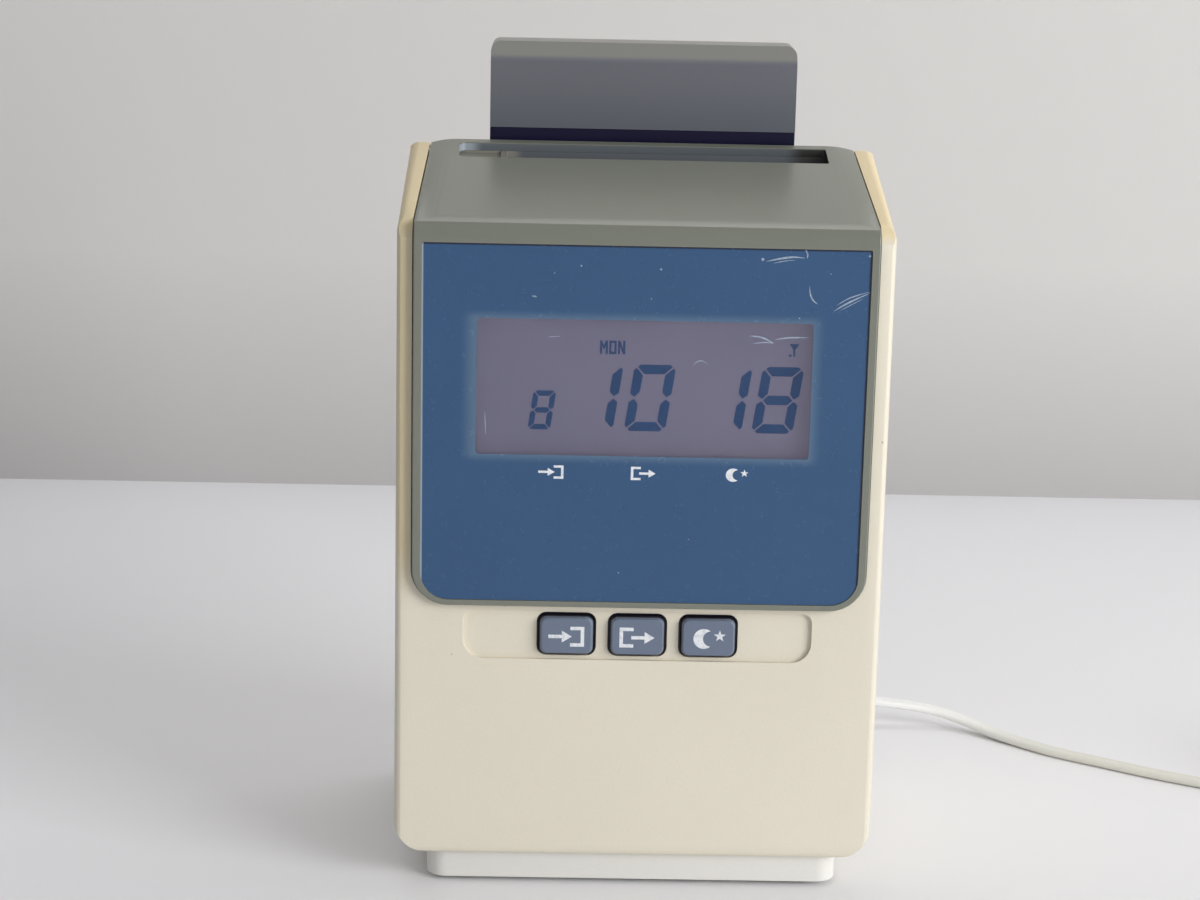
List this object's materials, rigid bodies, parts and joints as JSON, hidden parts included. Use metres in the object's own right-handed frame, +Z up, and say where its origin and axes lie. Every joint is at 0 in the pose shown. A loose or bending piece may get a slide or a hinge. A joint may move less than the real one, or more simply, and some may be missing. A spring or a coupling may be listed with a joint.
{
  "type": "time clock",
  "caption": "Desk time recorder: cream case, hinged grey cover with display window and card slot, keys, dot print head over a card chute, docked radio time receiver and coiled flat mains cord.",
  "frame": {"origin": "on the table, under the middle of the body's footprint without the cord", "axes": "+Z up, +Y to the back, +X to the right as seen from the front"},
  "size_m": [0.3968, 0.1543, 0.2439],
  "materials": {
    "case": "fine moulded texture",
    "plinth": "matt",
    "rubber": "matt",
    "steel": "zinc plated",
    "brass": "turned",
    "white_plastic": "satin",
    "black_plastic": "satin",
    "blue_plastic": "gloss",
    "display": "polariser film",
    "board": "solder mask",
    "core": "varnished",
    "winding": "taped winding",
    "ribbon": "inked",
    "cover": "fine moulded texture",
    "pane": "clear acrylic",
    "film": "printed film",
    "mouth": "matt",
    "keys": "satin",
    "receiver": "fine moulded texture",
    "receiver_base": "satin",
    "cord": "soft vinyl"
  },
  "bodies": {
    "housing": {"front_case": "case", "rear_case": "case", "base_plinth": "plinth", "rubber_feet": "rubber", "case_screws": "steel", "chassis_pan": "steel", "left_plate": "steel", "right_plate": "steel", "card_guide_front": "steel", "card_guide_rear": "steel", "platen_strip": "rubber", "display_bracket": "steel", "lcd_holder": "white_plastic", "lcd_glass": "display", "control_board": "board", "board_parts": "black_plastic", "backup_battery": "blue_plastic", "transformer_core": "core", "transformer_coil": "winding", "key_board": "board", "key_switches": "black_plastic", "carriage_motor": "steel", "feed_motor": "steel", "guide_shaft": "steel", "shaft_bushes": "brass", "ribbon_cassette": "black_plastic", "ribbon_band": "ribbon", "cord_gland": "cord", "cord_lead": "cord", "cord_coil": "cord", "coil_tie": "black_plastic", "cord_tail": "cord", "plug_body": "cord", "plug_blades": "brass"},
    "cover": {"cover_shell": "cover", "cover_pane": "pane", "panel_film": "film", "card_mouth": "mouth", "hinge_pins": "steel"},
    "left_key": {"left_key": "keys"},
    "middle_key": {"middle_key": "keys"},
    "right_key": {"right_key": "keys"},
    "carriage": {"head_carriage": "black_plastic", "print_head": "core"},
    "screw": {"drive_screw": "steel", "screw_gear": "white_plastic"},
    "carriage_pinion": {"carriage_pinion": "white_plastic"},
    "feed": {"feed_shaft": "steel", "feed_rollers": "rubber", "feed_gear": "white_plastic"},
    "feed_pinion": {"feed_pinion": "white_plastic"},
    "pinch": {"pinch_shaft": "steel", "pinch_rollers": "white_plastic"},
    "ribbon_knob": {"ribbon_knob": "blue_plastic"},
    "receiver": {"radio_front_shell": "receiver", "radio_rear_shell": "receiver", "radio_base": "receiver_base", "radio_board": "board", "ferrite_rod": "core"}
  },
  "joints": [
    {"name": "cover_hinge", "type": "hinge", "parent": "housing", "child": "cover", "pos_m": [0, 0.01875, 0.21051], "axis": [-1, 0, 0], "range_deg": [0, 88]},
    {"name": "left_key_press", "type": "slide", "parent": "housing", "child": "left_key", "axis": [0, 1, 0], "range_m": [0, 0.0012], "stiffness_N_per_m": 300},
    {"name": "middle_key_press", "type": "slide", "parent": "housing", "child": "middle_key", "axis": [0, 1, 0], "range_m": [0, 0.0012], "stiffness_N_per_m": 300},
    {"name": "right_key_press", "type": "slide", "parent": "housing", "child": "right_key", "axis": [0, 1, 0], "range_m": [0, 0.0012], "stiffness_N_per_m": 300},
    {"name": "carriage_slide", "type": "slide", "parent": "housing", "child": "carriage", "axis": [1, 0, 0], "range_m": [-0.036, 0.036]},
    {"name": "screw_turn", "type": "hinge", "parent": "housing", "child": "screw", "pos_m": [0, -0.01575, 0.168], "axis": [1, 0, 0], "range_deg": [-660, 660]},
    {"name": "carriage_pinion_turn", "type": "hinge", "parent": "housing", "child": "carriage_pinion", "pos_m": [0, -0.01575, 0.14875], "axis": [1, 0, 0], "range_deg": [-1980, 1980]},
    {"name": "feed_turn", "type": "hinge", "parent": "housing", "child": "feed", "pos_m": [0, 0.021, 0.14], "axis": [1, 0, 0], "continuous": true},
    {"name": "feed_pinion_turn", "type": "hinge", "parent": "housing", "child": "feed_pinion", "pos_m": [0, 0.03175, 0.12213], "axis": [1, 0, 0], "continuous": true},
    {"name": "pinch_turn", "type": "hinge", "parent": "housing", "child": "pinch", "pos_m": [0, 0.006, 0.14], "axis": [1, 0, 0], "continuous": true},
    {"name": "ribbon_knob_turn", "type": "hinge", "parent": "housing", "child": "ribbon_knob", "pos_m": [0.038, -0.02375, 0.19], "axis": [0, 0, 1], "continuous": true},
    {"name": "receiver_lift", "type": "slide", "parent": "housing", "child": "receiver", "axis": [0, 0, 1], "range_m": [0, 0.04]}
  ],
  "couplings": [
    {"joint": "screw_turn", "follows": "carriage_slide", "rad_per_m": 314.16},
    {"joint": "carriage_pinion_turn", "follows": "carriage_slide", "rad_per_m": -942.48},
    {"joint": "feed_pinion_turn", "follows": "feed_turn", "ratio": -3.3333},
    {"joint": "pinch_turn", "follows": "feed_turn", "ratio": -1.4167}
  ]
}
